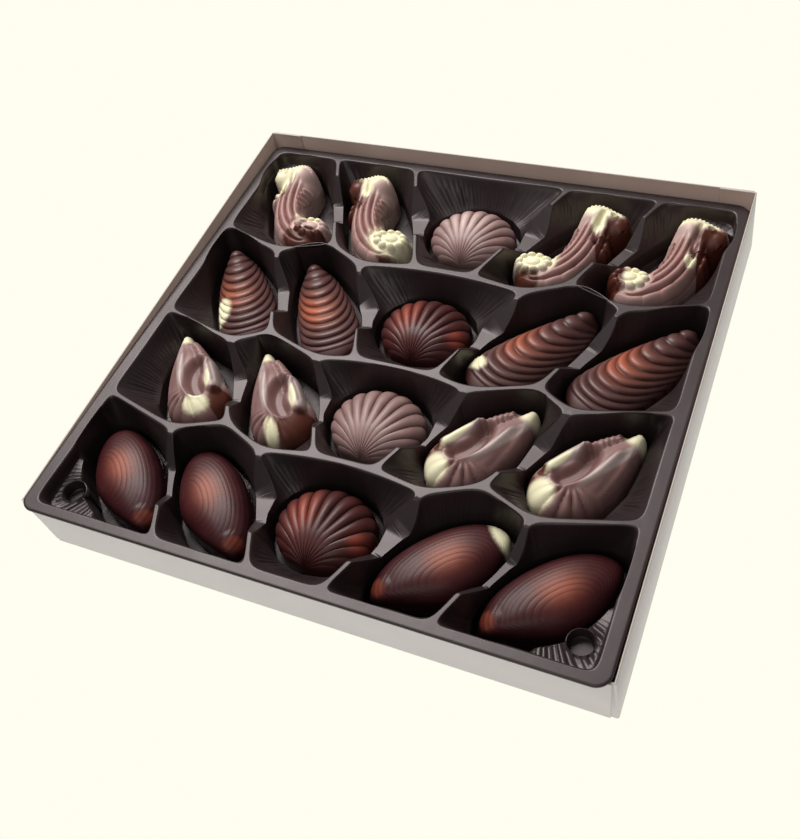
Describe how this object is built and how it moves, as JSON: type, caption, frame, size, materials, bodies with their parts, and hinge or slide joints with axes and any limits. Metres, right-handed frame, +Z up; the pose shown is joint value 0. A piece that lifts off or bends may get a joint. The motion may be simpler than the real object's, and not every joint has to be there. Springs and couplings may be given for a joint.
{
  "type": "box of chocolates",
  "caption": "Open shallow board carton with a leaning vacuum-formed tray of rows of seashell and seahorse pralines, each in its own pocket.",
  "frame": {"origin": "middle of the carton's underside", "axes": "+Z up out of the open box, +X to the right along its longer side, +Y to the back; the tray's front edge leans up at -Y"},
  "size_m": [0.203, 0.1962, 0.0274],
  "materials": {
    "carton_board": "pearl coated board",
    "tray_sheet": "glossy vacuum-formed sheet",
    "pink_marble_chocolate": "marbled chocolate with a soft sheen",
    "copper_chocolate": "chocolate with a copper sheen on the whorls",
    "cream_marble_chocolate": "marbled chocolate with a soft sheen",
    "maroon_chocolate": "smooth dark chocolate with a soft sheen",
    "light_fan_chocolate": "milk chocolate with a soft sheen",
    "dark_fan_chocolate": "dark chocolate with a soft sheen"
  },
  "bodies": {
    "carton": {"carton": "carton_board"},
    "tray": {"tray": "tray_sheet"},
    "seahorse_1": {"seahorse_1": "pink_marble_chocolate"},
    "seahorse_2": {"seahorse_2": "pink_marble_chocolate"},
    "seahorse_3": {"seahorse_3": "pink_marble_chocolate"},
    "seahorse_4": {"seahorse_4": "pink_marble_chocolate"},
    "turret_1": {"turret_1": "copper_chocolate"},
    "turret_2": {"turret_2": "copper_chocolate"},
    "turret_3": {"turret_3": "copper_chocolate"},
    "turret_4": {"turret_4": "copper_chocolate"},
    "conch_1": {"conch_1": "cream_marble_chocolate"},
    "conch_2": {"conch_2": "cream_marble_chocolate"},
    "conch_3": {"conch_3": "cream_marble_chocolate"},
    "conch_4": {"conch_4": "cream_marble_chocolate"},
    "mussel_1": {"mussel_1": "maroon_chocolate"},
    "mussel_2": {"mussel_2": "maroon_chocolate"},
    "mussel_3": {"mussel_3": "maroon_chocolate"},
    "mussel_4": {"mussel_4": "maroon_chocolate"},
    "scallop_1": {"scallop_1": "light_fan_chocolate"},
    "scallop_2": {"scallop_2": "dark_fan_chocolate"},
    "scallop_3": {"scallop_3": "light_fan_chocolate"},
    "scallop_4": {"scallop_4": "dark_fan_chocolate"}
  },
  "joints": [
    {"name": "tray_lift", "type": "slide", "parent": "carton", "child": "tray", "axis": [0, 0, 1], "range_m": [0, 0.035]},
    {"name": "seahorse_1_lift", "type": "slide", "parent": "tray", "child": "seahorse_1", "axis": [0, 0.0367, 0.9993], "range_m": [0, 0.035]},
    {"name": "seahorse_2_lift", "type": "slide", "parent": "tray", "child": "seahorse_2", "axis": [0, 0.0367, 0.9993], "range_m": [0, 0.035]},
    {"name": "seahorse_3_lift", "type": "slide", "parent": "tray", "child": "seahorse_3", "axis": [0, 0.0367, 0.9993], "range_m": [0, 0.035]},
    {"name": "seahorse_4_lift", "type": "slide", "parent": "tray", "child": "seahorse_4", "axis": [0, 0.0367, 0.9993], "range_m": [0, 0.035]},
    {"name": "turret_1_lift", "type": "slide", "parent": "tray", "child": "turret_1", "axis": [0, 0.0367, 0.9993], "range_m": [0, 0.035]},
    {"name": "turret_2_lift", "type": "slide", "parent": "tray", "child": "turret_2", "axis": [0, 0.0367, 0.9993], "range_m": [0, 0.035]},
    {"name": "turret_3_lift", "type": "slide", "parent": "tray", "child": "turret_3", "axis": [0, 0.0367, 0.9993], "range_m": [0, 0.035]},
    {"name": "turret_4_lift", "type": "slide", "parent": "tray", "child": "turret_4", "axis": [0, 0.0367, 0.9993], "range_m": [0, 0.035]},
    {"name": "conch_1_lift", "type": "slide", "parent": "tray", "child": "conch_1", "axis": [0, 0.0367, 0.9993], "range_m": [0, 0.035]},
    {"name": "conch_2_lift", "type": "slide", "parent": "tray", "child": "conch_2", "axis": [0, 0.0367, 0.9993], "range_m": [0, 0.035]},
    {"name": "conch_3_lift", "type": "slide", "parent": "tray", "child": "conch_3", "axis": [0, 0.0367, 0.9993], "range_m": [0, 0.035]},
    {"name": "conch_4_lift", "type": "slide", "parent": "tray", "child": "conch_4", "axis": [0, 0.0367, 0.9993], "range_m": [0, 0.035]},
    {"name": "mussel_1_lift", "type": "slide", "parent": "tray", "child": "mussel_1", "axis": [0, 0.0367, 0.9993], "range_m": [0, 0.035]},
    {"name": "mussel_2_lift", "type": "slide", "parent": "tray", "child": "mussel_2", "axis": [0, 0.0367, 0.9993], "range_m": [0, 0.035]},
    {"name": "mussel_3_lift", "type": "slide", "parent": "tray", "child": "mussel_3", "axis": [0, 0.0367, 0.9993], "range_m": [0, 0.035]},
    {"name": "mussel_4_lift", "type": "slide", "parent": "tray", "child": "mussel_4", "axis": [0, 0.0367, 0.9993], "range_m": [0, 0.035]},
    {"name": "scallop_1_lift", "type": "slide", "parent": "tray", "child": "scallop_1", "axis": [0, 0.0367, 0.9993], "range_m": [0, 0.035]},
    {"name": "scallop_2_lift", "type": "slide", "parent": "tray", "child": "scallop_2", "axis": [0, 0.0367, 0.9993], "range_m": [0, 0.035]},
    {"name": "scallop_3_lift", "type": "slide", "parent": "tray", "child": "scallop_3", "axis": [0, 0.0367, 0.9993], "range_m": [0, 0.035]},
    {"name": "scallop_4_lift", "type": "slide", "parent": "tray", "child": "scallop_4", "axis": [0, 0.0367, 0.9993], "range_m": [0, 0.035]}
  ]
}
